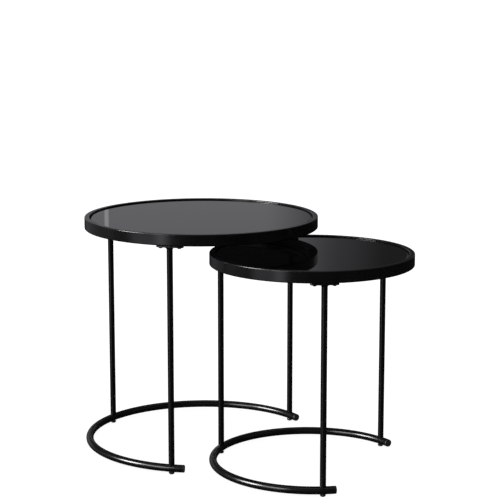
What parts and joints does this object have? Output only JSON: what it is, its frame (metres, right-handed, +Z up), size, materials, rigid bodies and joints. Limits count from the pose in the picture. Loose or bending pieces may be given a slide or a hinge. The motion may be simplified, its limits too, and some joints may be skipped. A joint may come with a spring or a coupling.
{
  "type": "nesting tables",
  "caption": "Round nesting side tables: black steel rims and tube legs on open C-shaped base rings, with inset black glass tops; the smaller table slides in under the larger.",
  "frame": {"origin": "on the floor, under the middle of the pair's bounding box", "axes": "+X is the way the open side of the larger table's base ring faces, about 7 degrees from the way the smaller table pulls out, +Z up"},
  "size_m": [0.7544, 0.5086, 0.5],
  "materials": {
    "black_steel": "semi-gloss black powder coat",
    "black_glass": "polished black tempered glass, opaque",
    "black_zinc": "black zinc plated screw",
    "zinc_steel": "bright zinc plated",
    "black_rubber": "matt moulded rubber",
    "black_plastic": "moulded, satin",
    "clear_silicone": "translucent silicone"
  },
  "bodies": {
    "large_table": {"large_top_rim": "black_steel", "large_glass_ledge": "black_steel", "large_glass_pad_1": "clear_silicone", "large_glass_pad_2": "clear_silicone", "large_glass_pad_3": "clear_silicone", "large_leg_left": "black_steel", "large_leg_right": "black_steel", "large_leg_back": "black_steel", "large_leg_plate_left": "black_steel", "large_leg_plate_right": "black_steel", "large_leg_plate_back": "black_steel", "large_plate_screw_left_1": "black_zinc", "large_plate_screw_left_2": "black_zinc", "large_plate_screw_right_1": "black_zinc", "large_plate_screw_right_2": "black_zinc", "large_plate_screw_back_1": "black_zinc", "large_plate_screw_back_2": "black_zinc", "large_leg_insert_left": "zinc_steel", "large_leg_insert_right": "zinc_steel", "large_leg_insert_back": "zinc_steel", "large_base_ring": "black_steel", "large_ring_plug_left": "black_plastic", "large_ring_plug_right": "black_plastic", "large_base_bolt_left": "zinc_steel", "large_base_bolt_right": "zinc_steel", "large_base_bolt_back": "zinc_steel", "large_foot_left": "black_rubber", "large_foot_right": "black_rubber", "large_foot_back": "black_rubber"},
    "large_glass": {"large_glass_top": "black_glass"},
    "small_table": {"small_top_rim": "black_steel", "small_glass_ledge": "black_steel", "small_glass_pad_1": "clear_silicone", "small_glass_pad_2": "clear_silicone", "small_glass_pad_3": "clear_silicone", "small_leg_left": "black_steel", "small_leg_right": "black_steel", "small_leg_back": "black_steel", "small_leg_plate_left": "black_steel", "small_leg_plate_right": "black_steel", "small_leg_plate_back": "black_steel", "small_plate_screw_left_1": "black_zinc", "small_plate_screw_left_2": "black_zinc", "small_plate_screw_right_1": "black_zinc", "small_plate_screw_right_2": "black_zinc", "small_plate_screw_back_1": "black_zinc", "small_plate_screw_back_2": "black_zinc", "small_leg_insert_left": "zinc_steel", "small_leg_insert_right": "zinc_steel", "small_leg_insert_back": "zinc_steel", "small_base_ring": "black_steel", "small_ring_plug_left": "black_plastic", "small_ring_plug_right": "black_plastic", "small_base_bolt_left": "zinc_steel", "small_base_bolt_right": "zinc_steel", "small_base_bolt_back": "zinc_steel", "small_foot_left": "black_rubber", "small_foot_right": "black_rubber", "small_foot_back": "black_rubber"},
    "small_glass": {"small_glass_top": "black_glass"}
  },
  "joints": [
    {"name": "nest_slide", "type": "slide", "parent": "large_table", "child": "small_table", "axis": [0.9921, -0.1252, 0], "range_m": [-0.292, 0.2]},
    {"name": "large_glass_lift", "type": "slide", "parent": "large_table", "child": "large_glass", "axis": [0, 0, 1], "range_m": [0, 0.06]},
    {"name": "small_glass_lift", "type": "slide", "parent": "small_table", "child": "small_glass", "axis": [0, 0, 1], "range_m": [0, 0.02]}
  ]
}
